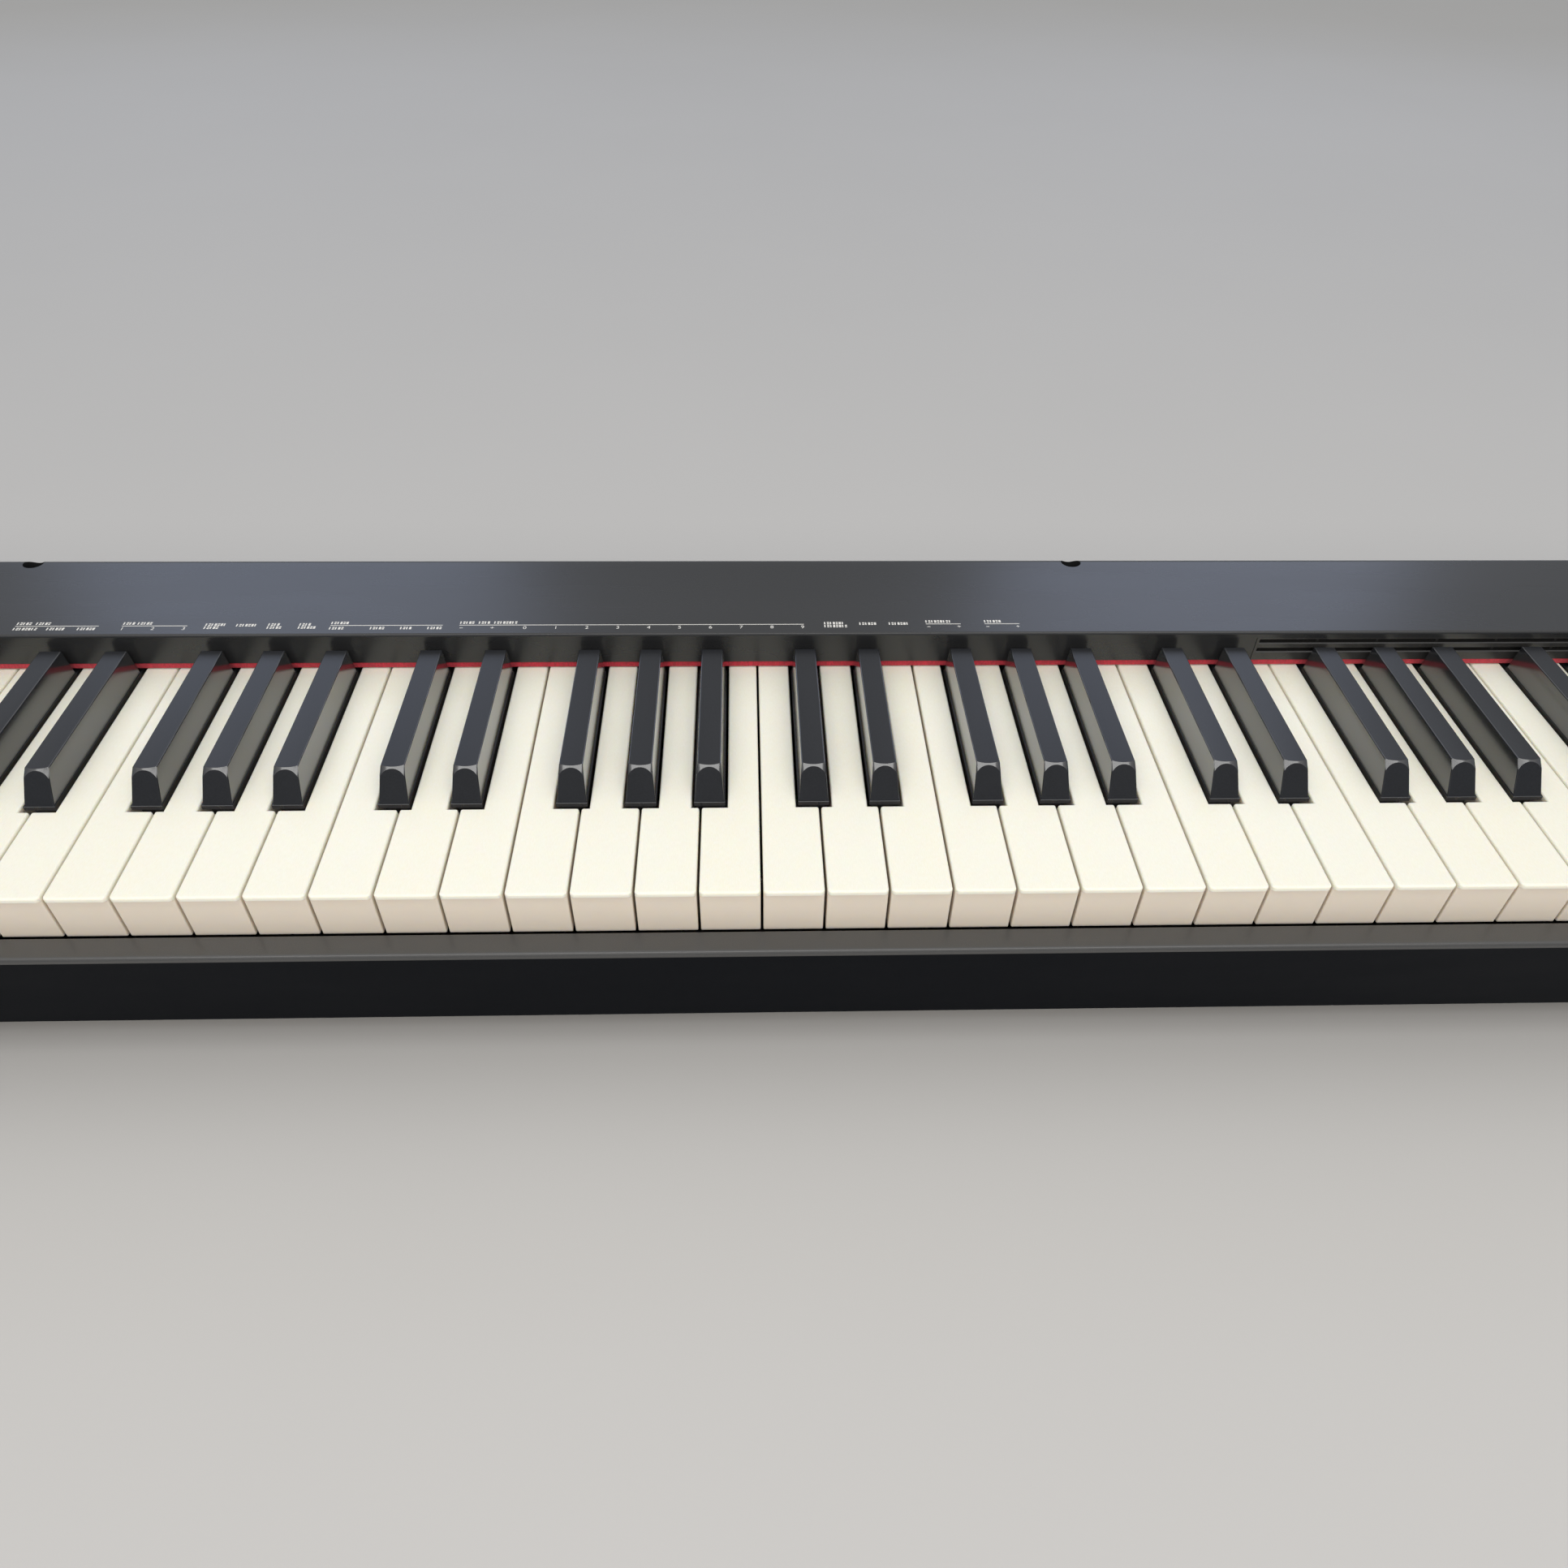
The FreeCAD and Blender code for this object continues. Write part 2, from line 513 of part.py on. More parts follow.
def panel_board():
    """Circuit board under the controls, with a tact switch under each button and the slider's track."""
    z = HEIGHT - SKIN - 7.5
    x0, x1 = POWER_X - 13.0, max(BUTTON_X.values()) + 15.0
    board = box(x0, x1, CONTROL_Y - 12, CONTROL_Y + 12, z, z + BOARD_T)
    parts = []
    for x in (POWER_X, *BUTTON_X.values()):
        parts.append(box(x - 3, x + 3, CONTROL_Y - 3, CONTROL_Y + 3, z + BOARD_T, z + BOARD_T + 2.2))
    for x in (x0 + 3, x1 - 3):
        for y in (CONTROL_Y - 9.5, CONTROL_Y + 9.5):
            parts.append(rod(2, (x, y, z + BOARD_T), (x, y, HEIGHT - SKIN)))
    return board.multiFuse(parts).removeSplitter()


# ---------------------------------------------------------------- underside
def rubber_feet():
    feet = []
    for x, y in FEET:
        foot = Part.makeCone(FOOT_R - 1.5, FOOT_R, FOOT_H, V(x, y, 0), V(0, 0, 1))
        feet.append(rounded(foot, 1.0, lambda e: edge_at(e, z=0.0)))
    return feet


def case_screws():
    """Pan-head screws from below, holding the key frame to the lower case."""
    screws = []
    for x, y in SCREWS:
        head = rod(3.4, (x, y, FOOT_H - 0.4), (x, y, FOOT_H + 1.4))
        head = rounded(head, 0.8, lambda e: edge_at(e, z=FOOT_H - 0.4))
        cross = box(x - 2, x + 2, y - 0.4, y + 0.4, FOOT_H - 1, FOOT_H + 0.6)
        cross = cross.fuse(box(x - 0.4, x + 0.4, y - 2, y + 2, FOOT_H - 1, FOOT_H + 0.6))
        shank = rod(1.5, (x, y, FOOT_H + 1.4), (x, y, FOOT_H + 8.4))
        screws.append(head.cut(cross).fuse(shank).removeSplitter())
    return screws


def stand_inserts():
    """Brass inserts for the four bolts of a stand."""
    inserts = []
    for x, y in stand_points():
        body = rod(INSERT_R, (x, y, FOOT_H), (x, y, FOOT_H + INSERT_H))
        inserts.append(body.cut(rod(STAND_R, (x, y, FOOT_H - 1), (x, y, FOOT_H + INSERT_H + 1))))
    return inserts


def battery_cover():
    x0, x1, y0, y1 = BATTERY
    fit = 0.4
    plate = box(x0 + fit, x1 - fit, y0 + fit, y1 - fit, FOOT_H, FOOT_H + 2.2)
    rows = [y1 - 12 + 2.4 * k for k in range(4)]
    grip = [box(x0 + 9, x1 - 9, y, y + 1, FOOT_H - 1, FOOT_H + 0.6) for y in rows]
    return plate.cut(Part.makeCompound(grip)).removeSplitter()


def battery_contacts():
    """Spring plates at both ends of the battery bay."""
    x0, x1, y0, y1 = BATTERY
    plates = []
    for y in (y0 + 2, y1 - 2.5):
        for k in (0, 1):
            xc = x0 + (x1 - x0) * (0.26 + 0.48 * k)
            plates.append(box(xc - 5.5, xc + 5.5, y, y + 0.5, FOOT_H + 6, BATTERY_TOP - 3))
    return plates


# ---------------------------------------------------------------- inside
def support_points():
    """Where the frame's ribs stand: in the gap beside each C sharp, and outside the end keys."""
    ribs = [notch_left(n) + 1.15 for n in range(LOWEST, HIGHEST) if n % 12 == 1]
    return [-BLOCK_X - 0.4, *ribs, BLOCK_X + 0.4]


def key_frame():
    """Moulded frame that carries the pivot rods, the guide posts, the contact board and the stops."""
    x0, x1 = -BLOCK_X - 1.4, BLOCK_X + 1.4
    beams = [
        box(x0, x1, -100, -80, LEDGE - 3, LEDGE),
        box(x0, x1, -46, 5, *DECK_Z),
        box(x0, x1, 40, 108, *REAR_DECK_Z),
    ]
    rib = [
        (-91, BENCH),
        (-100, 34),
        (-100, LEDGE - 1),
        (-80, LEDGE - 1),
        (-80, 16),
        (-46, 16),
        (-46, DECK_Z[1] - 1),
        (4, DECK_Z[1] - 1),
        (42, REAR_DECK_Z[1] - 1),
        (60, REAR_DECK_Z[1] - 1),
        (60, REAR_DECK_Z[0]),
        (46, REAR_DECK_Z[0]),
        (8, 38),
        (8, 16),
        (60, 16),
        (60, BENCH),
    ]
    foot_z = REAR_DECK_Z[1] - 1
    bearing = [(90, foot_z), (90, 66), (94, 72.5), (102, 72.5), (106, 66), (106, foot_z)]
    pieces = []
    for x in support_points():
        pieces += [side_prism(rib, x - 0.7, x + 0.7), side_prism(bearing, x - 0.7, x + 0.7)]
    for x in (-570, -380, -190, 0, 190, 380, 570):
        pieces += [box(x - 2, x + 2, 62, 80, BENCH, REAR_DECK_Z[0] + 1)]
    for x, y in SCREWS:
        pieces += [rod(5, (x, y, BENCH), (x, y, 18))]
    rails = [box(x0, x1, -66, -54, 14, 16.5), box(x0, x1, 24, 36, 14, 16.5)]
    for note in range(LOWEST, HIGHEST + 1):
        if IS_BLACK[note % 12]:
            x = key_centre(note)
            pieces.append(box(x - 2, x + 2, -40, -35, DECK_Z[1] - 1, 67))
        else:
            x = white_left(note) + PITCH / 2
            pieces.append(box(x - 4, x + 4, -92, -87, LEDGE - 1, 67))
    frame = beams[0].multiFuse(beams[1:] + rails + pieces)
    holes = [
        rod(PIVOT_R + RUN_FIT, (x0 - 1, PIVOT_Y, PIVOT_Z), (x1 + 1, PIVOT_Y, PIVOT_Z)),
        rod(HAMMER_R + RUN_FIT, (x0 - 1, HAMMER_Y, HAMMER_Z), (x1 + 1, HAMMER_Y, HAMMER_Z)),
    ]
    holes += [rod(1.55, (x, y, BENCH - 1), (x, y, 17)) for x, y in SCREWS]
    return frame.cut(Part.makeCompound(holes)).removeSplitter()


def long_rod(radius, y, z):
    return rod(radius, (-BLOCK_X - 1.4, y, z), (BLOCK_X + 1.4, y, z))


def hammer(note):
    """One weighted lever: hub on the hammer rod, short front arm under the key's foot, long heavy tail."""
    x = key_centre(note)
    x0, x1 = x - HAMMER_HALF, x + HAMMER_HALF
    y, z = HAMMER_Y, HAMMER_Z
    hub = rod(5.0, (x0, y, z), (x1, y, z))
    arm = side_prism([(y - 38, 42), (y - 38, 46), (y - 28, 46), (y, z + 4), (y, z - 3), (y - 26, 38)], x0, x1)
    tail = side_prism([(y, z + 4), (55, 30), (58, 28), (58, 21), (55, 19), (30, 19), (y, z - 4)], x0, x1)
    lever = hub.multiFuse([arm, tail])
    return lever.cut(rod(HAMMER_R + RUN_FIT, (x0 - 1, y, z), (x1 + 1, y, z))).removeSplitter()


def contact_board():
    return box(-BLOCK_X + 2, BLOCK_X - 2, -30, 2, DECK_Z[1], DECK_Z[1] + BOARD_T)


def contact_rubber():
    """Rubber strip with one dome under each key."""
    z = DECK_Z[1] + BOARD_T
    strip = box(-BLOCK_X + 4, BLOCK_X - 4, -24, -4, z, z + 1)
    centres = [V(key_centre(note), -14, z + 0.5) for note in range(LOWEST, HIGHEST + 1)]
    domes = [Part.makeCone(4.2, 2.6, 8.6, centre, V(0, 0, 1)) for centre in centres]
    return strip.multiFuse(domes).removeSplitter()


def oval(x, z, half, y0, y1):
    """A plate standing across Y, with round ends 88 mm apart."""
    reach = 44.0
    ends = [rod(half, (x + s * reach, y0, z), (x + s * reach, y1, z)) for s in (-1, 1)]
    return box(x - reach, x + reach, y0, y1, z - half, z + half).multiFuse(ends)


def slab(x, z, wide, high, y0, y1):
    """A plate standing across Y, centred on x and z."""
    return box(x - wide, x + wide, y0, y1, z - high, z + high)


def speaker(side):
    """Oval driver behind the rear vents: frame, cone and magnet."""
    x, z, face = side * SPEAKER_X, SPEAKER_Z, BACK - SKIN
    frame = oval(x, z, 19.0, face - 3, face).cut(oval(x, z, 14.0, face - 4, face + 1))
    basket = slab(x, z, 30, 15, face - 14, face - 3).cut(slab(x, z, 28, 13, face - 12, face - 2))
    magnet = rod(15.0, (x, face - 24, z), (x, face - 14, z))
    cone = Part.makeCone(13, 5, 8, V(x, face - 4, z), V(0, -1, 0))
    cone = cone.cut(Part.makeCone(11.8, 3.8, 7.4, V(x, face - 3.8, z), V(0, -1, 0)))
    ring = slab(x, z, 28, 13, face - 6, face - 4).cut(rod(12.5, (x, face - 7, z), (x, face - 3, z)))
    rim = slab(x, z, 30, 15, face - 4, face - 3).cut(slab(x, z, 27, 13, face - 5, face))
    return frame.multiFuse([rim, basket, ring, cone, magnet]).removeSplitter()


def main_board():
    """Sound and power board on the case floor, with its larger components."""
    z = BENCH + 4
    board = box(-330, -60, 84, 104, z, z + BOARD_T)
    stands = [rod(2.5, (x, 94, BENCH), (x, 94, z)) for x in (-325, -210, -65)]
    top = z + BOARD_T
    chips = [box(-300, -278, 86, 102, top, top + 2), box(-256, -242, 88, 100, top, top + 2)]
    cans = [rod(5, (x, 94, top), (x, 94, top + 12)) for x in (-226, -320)]
    return board.multiFuse(stands + chips + cans).removeSplitter()


def rear_sockets():
    """Five socket mouldings side by side in the rear wall: power, pedal, phones, audio and a USB port."""
    x0, x1, z0, z1 = SOCKETS
    z, width = (z0 + z1) / 2, (x1 - x0) / 5
    modules = []
    for k in range(5):
        left = x0 + width * k
        block = box(left + SEAM / 2, left + width - SEAM / 2, BACK - SOCKET_DEEP - 2, BACK, z0, z1)
        x = left + width / 2
        if k < len(SOCKET_RADII):
            cavity = rod(SOCKET_RADII[k], (x, BACK - SOCKET_DEEP, z), (x, BACK + 1, z))
        else:
            cavity = slab(x, z, USB_W / 2, USB_H / 2, BACK - SOCKET_DEEP, BACK + 1)
        modules.append(block.cut(cavity))
    return modules


# ---------------------------------------------------------------- build
def main():
    os.makedirs("parts", exist_ok=True)
    for name in os.listdir("parts"):
        os.remove(os.path.join("parts", name))
    keyboard()
    save("lower_case", lower_case())
    save("front_rail", front_rail())
    save("top_panel", top_panel())
    for side, word in ((-1, "left"), (1, "right")):
        save(f"end_block_{word}", end_block(side))
        save(f"sound_grille_{word}", sound_grille(side))
        save(f"speaker_{word}", speaker(side))
    save("felt_strip", felt_strip())
    save("power_button", power_button())
    save("power_lamp", power_lamp())
    save("volume_slider", volume_slider())
    for name, x in BUTTON_X.items():
        save(name, control_button(x))
    save("panel_board", panel_board())
    save("rubber_feet", *rubber_feet())
    save("case_screws", *case_screws())
    save("stand_inserts", *stand_inserts())
    save("battery_cover", battery_cover())
    save("battery_contacts", *battery_contacts())
    save("key_frame", key_frame())
    save("key_pivot_rod", long_rod(PIVOT_R, PIVOT_Y, PIVOT_Z))
    save("hammer_pivot_rod", long_rod(HAMMER_R, HAMMER_Y, HAMMER_Z))
    save("hammer_bank", *[hammer(n) for n in range(LOWEST, HIGHEST + 1)])
    save("hammer_stop_felt", box(-BLOCK_X + 1, BLOCK_X - 1, 46.5, 58, REAR_DECK_Z[0] - 4, REAR_DECK_Z[0]))
    save("key_stop_felt", box(-BLOCK_X + 1, BLOCK_X - 1, -99, -94, LEDGE, LEDGE + 3))
    save("contact_board", contact_board())
    save("contact_rubber", contact_rubber())
    save("main_board", main_board())
    save("rear_sockets", *rear_sockets())


main()
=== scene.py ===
import json
import math
import random

import bmesh
import bpy
from mathutils import Matrix, Vector


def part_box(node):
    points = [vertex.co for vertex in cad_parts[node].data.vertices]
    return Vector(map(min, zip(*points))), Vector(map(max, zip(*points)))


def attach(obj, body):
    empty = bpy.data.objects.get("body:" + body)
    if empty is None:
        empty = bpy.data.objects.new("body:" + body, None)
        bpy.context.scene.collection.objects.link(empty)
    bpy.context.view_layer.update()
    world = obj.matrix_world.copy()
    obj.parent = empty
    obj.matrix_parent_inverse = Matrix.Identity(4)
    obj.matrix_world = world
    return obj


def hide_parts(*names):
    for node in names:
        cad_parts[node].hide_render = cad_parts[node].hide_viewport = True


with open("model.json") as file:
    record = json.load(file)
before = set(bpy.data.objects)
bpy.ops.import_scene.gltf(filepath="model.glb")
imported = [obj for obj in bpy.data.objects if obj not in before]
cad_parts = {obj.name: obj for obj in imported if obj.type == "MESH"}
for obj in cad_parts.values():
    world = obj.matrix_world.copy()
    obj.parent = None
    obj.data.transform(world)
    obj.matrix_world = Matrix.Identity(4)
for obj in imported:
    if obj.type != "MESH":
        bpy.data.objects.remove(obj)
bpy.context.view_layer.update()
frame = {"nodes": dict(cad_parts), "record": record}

MM = 0.001
CASE = "case"

# The photograph's viewpoint in the row frame: place in millimetres, angles in degrees, lens and sensor
# in millimetres, rise as a share of the sensor's width.
EYE = Vector((89.8, -402.1, 366.4)) * MM
YAW, PITCH, ROLL = 2.42, 47.10, 1.13
LENS, SENSOR, RISE = 26.02, 36.0, 0.1153

# Places on the object that the pieces here line up with, read from the frame.
PANEL_LOW, PANEL_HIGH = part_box("top_panel")
WALL_Y = PANEL_LOW.y
PANEL_TOP = PANEL_HIGH.z
KEY_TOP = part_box("white_keys_bass")[1].z
BACK = PANEL_HIGH.y

# Places and sizes in millimetres, the same as in the CAD source, for pieces that sit in its holes.
SPEAKER_X, VENT_STEP, VENT_REACH, VENT_HALF_WIDTH = 500, 7.5, 16.0, 1.55
SOCKET_DEEP = 10
POWER_X, POWER_R = -178, 2.8
JACKS = ((-154, 3.3), (-130, 3.3), (-106, 1.9))
USB_X = -82
FEET = [(x, y) for x in (-575, 0, 575) for y in (-72, 92)]


# ---------------------------------------------------------------- materials
# The colour sockets of a Mix node, which also has float and vector ones of the same names.
MIX_A, MIX_B, MIX_RESULT = 6, 7, 2
WAVE_BAND = 6.283  # threads per metre for each unit of a wave texture's scale


class Shader:
    """A node tree that ends in one Principled shader, with short calls for the usual chains."""

    def __init__(self, name, colour, roughness, **sockets):
        self.material = bpy.data.materials.new(name)
        self.material.use_nodes = True
        self.tree = self.material.node_tree
        self.bsdf = self.tree.nodes["Principled BSDF"]
        self.bsdf.inputs["Base Color"].default_value = (*colour, 1)
        self.bsdf.inputs["Roughness"].default_value = roughness
        for socket, value in sockets.items():
            self.bsdf.inputs[socket.replace("_", " ")].default_value = value

    def node(self, kind, inputs=(), **settings):
        made = self.tree.nodes.new(kind)
        for key, value in settings.items():
            setattr(made, key, value)
        for socket, value in dict(inputs).items():
            if isinstance(value, bpy.types.NodeSocket):
                self.tree.links.new(value, made.inputs[socket])
            else:
                made.inputs[socket].default_value = value
        return made

    def place(self, scale=(1, 1, 1)):
        """Object coordinates in metres, stretched by scale."""
        where = self.node("ShaderNodeTexCoord").outputs["Object"]
        return self.node("ShaderNodeMapping", {"Vector": where, "Scale": scale}).outputs["Vector"]

    def noise(self, per_metre, stretch=(1, 1, 1), detail=3.0, roughness=0.55):
        made = self.node(
            "ShaderNodeTexNoise",
            {"Vector": self.place(stretch), "Scale": per_metre, "Detail": detail, "Roughness": roughness},
        )
        return made.outputs["Fac"]

    def between(self, fac, low, high, out_low=0.0, out_high=1.0):
        """A value that runs from out_low to out_high while fac runs from low to high."""
        made = self.node(
            "ShaderNodeMapRange",
            {"Value": fac, "From Min": low, "From Max": high, "To Min": out_low, "To Max": out_high},
        )
        return made.outputs["Result"]

    def math(self, operation, *values):
        return self.node("ShaderNodeMath", enumerate(values), operation=operation).outputs[0]

    def mix(self, fac, a, b):
        """Colour a where fac is 0, b where it is 1."""
        made = self.node("ShaderNodeMix", data_type="RGBA")
        self.tree.links.new(fac, made.inputs[0])
        for index, value in ((MIX_A, a), (MIX_B, b)):
            if isinstance(value, bpy.types.NodeSocket):
                self.tree.links.new(value, made.inputs[index])
            else:
                made.inputs[index].default_value = (*value, 1)
        return made.outputs[MIX_RESULT]

    def edges(self, low=0.52):
        """1 on sharp outside edges and 0 on flat faces."""
        return self.between(self.node("ShaderNodeNewGeometry").outputs["Pointiness"], low, 0.6)

    def facing_up(self):
        """The surface normal's height: 1 on a top face, 0 on an upright one, -1 underneath."""
        normal = self.node("ShaderNodeNewGeometry").outputs["Normal"]
        return self.node("ShaderNodeSeparateXYZ", {0: normal}).outputs["Z"]

    def set_colour(self, socket):
        self.tree.links.new(socket, self.bsdf.inputs["Base Color"])

    def set_roughness(self, socket):
        self.tree.links.new(socket, self.bsdf.inputs["Roughness"])

    def set_coat(self, socket, roughness):
        self.tree.links.new(socket, self.bsdf.inputs["Coat Weight"])
        self.bsdf.inputs["Coat Roughness"].default_value = roughness

    def bump(self, height, depth_mm):
        inputs = {"Height": height, "Distance": depth_mm * MM, "Strength": 1.0}
        normal = self.node("ShaderNodeBump", inputs).outputs["Normal"]
        self.tree.links.new(normal, self.bsdf.inputs["Normal"])


def tint(colour, factor):
    """The colour made darker or lighter."""
    return tuple(min(1.0, c * factor) for c in colour)


def moulded(name, colour, roughness, pits_per_metre=1500, pit_depth=0.012, edge_wear_and_highlight=1.6, sheen=0.0, **sockets):
    """Textured plastic: spark-eroded pits, slow colour and gloss changes, sharp edges painted lighter, partly as
    wear and partly as a painted highlight.

    sheen is the weight of a soft coat on all faces but those that lean towards the floor."""
    s = Shader(name, colour, roughness, **sockets)
    slow = s.noise(14, detail=2)
    grain = s.noise(pits_per_metre, detail=2, roughness=0.6)
    toned = s.mix(s.between(slow, 0.3, 0.7), tint(colour, 0.88), tint(colour, 1.12))
    toned = s.mix(s.between(grain, 0.35, 0.65), tint(colour, 0.82), toned)
    scuffs = s.between(s.noise(40, stretch=(0.3, 1, 1), detail=3), 0.4, 0.8)
    # sharp edges painted lighter: partly wear, partly a painted highlight along the edges
    s.set_colour(s.mix(s.math("MULTIPLY", s.edges(), 0.5), toned, tint(colour, edge_wear_and_highlight)))
    s.set_roughness(s.between(scuffs, 0, 1, roughness, roughness * 0.92))
    if sheen:
        s.set_coat(s.between(s.facing_up(), -0.25, -0.1, 0, sheen), 0.45)
    s.bump(grain, pit_depth)
    return s.material


def ivory():
    """White key moulding: polished warm white cap on a darker, warmer body, partly a warmer plastic and partly
    painted shade on the key fronts and under the lip.
    """
    colour = (0.86, 0.845, 0.735)
    s = Shader("white_key", colour, 0.32, Subsurface_Weight=0.35, Subsurface_Scale=0.003, IOR=1.49)
    s.bsdf.inputs["Subsurface Radius"].default_value = (1.0, 0.75, 0.4)
    slow = s.noise(22, stretch=(1, 0.35, 1), detail=3)
    fine = s.noise(2600, stretch=(1, 0.2, 1), detail=2)
    warm = s.mix(s.between(slow, 0.35, 0.7), colour, (0.87, 0.84, 0.70))
    cap = s.mix(s.between(fine, 0.3, 0.8), warm, (0.90, 0.885, 0.79))
    height = s.node("ShaderNodeSeparateXYZ", {0: s.place()}).outputs["Z"]
    # below the cap the body is painted darker and warmer: partly its own tone, partly painted shade on the key
    # fronts and under the lip
    body_tone_and_shade = s.between(height, KEY_TOP - 2.1 * MM, KEY_TOP - 1.7 * MM, 1, 0)
    s.set_colour(s.mix(body_tone_and_shade, cap, (0.78, 0.70, 0.60)))
    s.set_roughness(s.between(s.noise(60, detail=2), 0.3, 0.7, 0.3, 0.36))
    s.bump(fine, 0.004)
    return s.material


def ebony():
    """Black key moulding: fine-grained satin top and front, polished sides, edges rubbed glossy and bright, and
    sharp edges painted lighter, partly as wear and partly as a painted highlight.
    """
    colour = (0.0085, 0.0095, 0.012)
    s = Shader("black_key", colour, 0.2, Specular_IOR_Level=0.35, Coat_IOR=1.8)
    grain = s.noise(1700, stretch=(1, 0.4, 1), detail=3, roughness=0.6)
    slow = s.noise(60, stretch=(1, 0.4, 1), detail=2)
    base = s.mix(s.between(grain, 0.35, 0.68), tint(colour, 0.8), tint(colour, 1.3))
    base = s.mix(s.between(slow, 0.3, 0.7, 0, 0.4), base, tint(colour, 1.4))
    # sharp edges painted lighter: partly wear, partly a painted highlight along the edges
    s.set_colour(s.mix(s.math("MULTIPLY", s.edges(0.53), 0.35), base, (0.06, 0.063, 0.068)))
    up = s.facing_up()
    rubbed = s.math("MULTIPLY", s.between(up, 0.64, 0.74), s.between(up, 0.99, 0.94))
    s.set_roughness(s.math("MULTIPLY_ADD", rubbed, -0.1, s.between(up, 0.15, 0.4, 0.12, 0.32)))
    s.set_coat(s.math("MAXIMUM", rubbed, s.between(up, 0.15, 0.4, 1, 0)), 0.16)
    s.bump(grain, 0.014)
    return s.material


def felt(name, colour):
    """Pressed wool: fine fibres in soft clumps."""
    s = Shader(name, colour, 0.95, Sheen_Weight=0.6, Sheen_Roughness=0.5)
    fibres = s.noise(1800, stretch=(1, 0.5, 0.4), detail=5, roughness=0.7)
    clumps = s.noise(350, detail=3)
    toned = s.mix(s.between(fibres, 0.3, 0.7), tint(colour, 0.55), tint(colour, 1.5))
    s.set_colour(s.mix(s.between(clumps, 0.4, 0.7, 0, 0.5), toned, tint(colour, 0.7)))
    s.bump(fibres, 0.12)
    return s.material


def metal(name, colour, roughness, stretch=(1, 1, 1)):
    """Drawn or turned metal, with fine lines along the axis that stretch makes small."""
    s = Shader(name, colour, roughness, Metallic=1.0)
    lines = s.noise(2400, stretch=stretch, detail=3)
    s.set_colour(s.mix(s.between(lines, 0.3, 0.7), tint(colour, 0.85), tint(colour, 1.08)))
    s.set_roughness(s.between(lines, 0.3, 0.7, roughness * 0.8, roughness * 1.25))
    s.bump(lines, 0.004)
    return s.material


def rubber(name, colour):
    """Matt rubber with a little dust."""
    s = Shader(name, colour, 0.72)
    grain = s.noise(900, detail=4)
    dust = s.between(s.noise(60, detail=4), 0.45, 0.75)
    s.set_colour(s.mix(dust, colour, tint(colour, 1.8)))
    s.set_roughness(s.between(grain, 0.3, 0.7, 0.62, 0.8))
    s.bump(grain, 0.03)
    return s.material


def circuit():
    """Green solder mask with copper tracks showing through."""
    colour = (0.012, 0.085, 0.035)
    s = Shader("circuit_board", colour, 0.35, Coat_Weight=0.3)
    black, white = (0, 0, 0, 1), (1, 1, 1, 1)
    inputs = {"Vector": s.place(), "Scale": 90.0, "Mortar Size": 0.012}
    inputs |= {"Color1": black, "Color2": black, "Mortar": white}
    tracks = s.node("ShaderNodeTexBrick", inputs).outputs["Color"]
    s.set_colour(s.mix(tracks, colour, (0.05, 0.17, 0.06)))
    s.bump(tracks, 0.03)
    return s.material


def cloth(name, colour, threads_per_metre=1400):
    """Acoustic cloth: a plain weave of round threads."""
    s = Shader(name, colour, 0.9)
    waves = []
    for direction in ("X", "Z"):
        inputs = {"Vector": s.place(), "Scale": threads_per_metre / WAVE_BAND}
        waves.append(s.node("ShaderNodeTexWave", inputs, bands_direction=direction).outputs["Fac"])
    weave = s.math("MULTIPLY", *waves)
    s.set_colour(s.mix(weave, tint(colour, 0.4), tint(colour, 1.6)))
    s.bump(weave, 0.15)
    return s.material


def ink(name, colour):
    """Screen print: slightly uneven cover."""
    s = Shader(name, colour, 0.5)
    cover = s.noise(3000, detail=3)
    s.set_colour(s.mix(s.between(cover, 0.25, 0.6), tint(colour, 0.72), colour))
    s.bump(cover, 0.004)
    return s.material


def lens(name, colour):
    """Tinted clear plastic."""
    s = Shader(name, colour, 0.12, Transmission_Weight=0.4, IOR=1.49)
    swirl = s.noise(900, detail=2)
    s.set_colour(s.mix(s.between(swirl, 0.3, 0.7), colour, tint(colour, 1.4)))
    return s.material


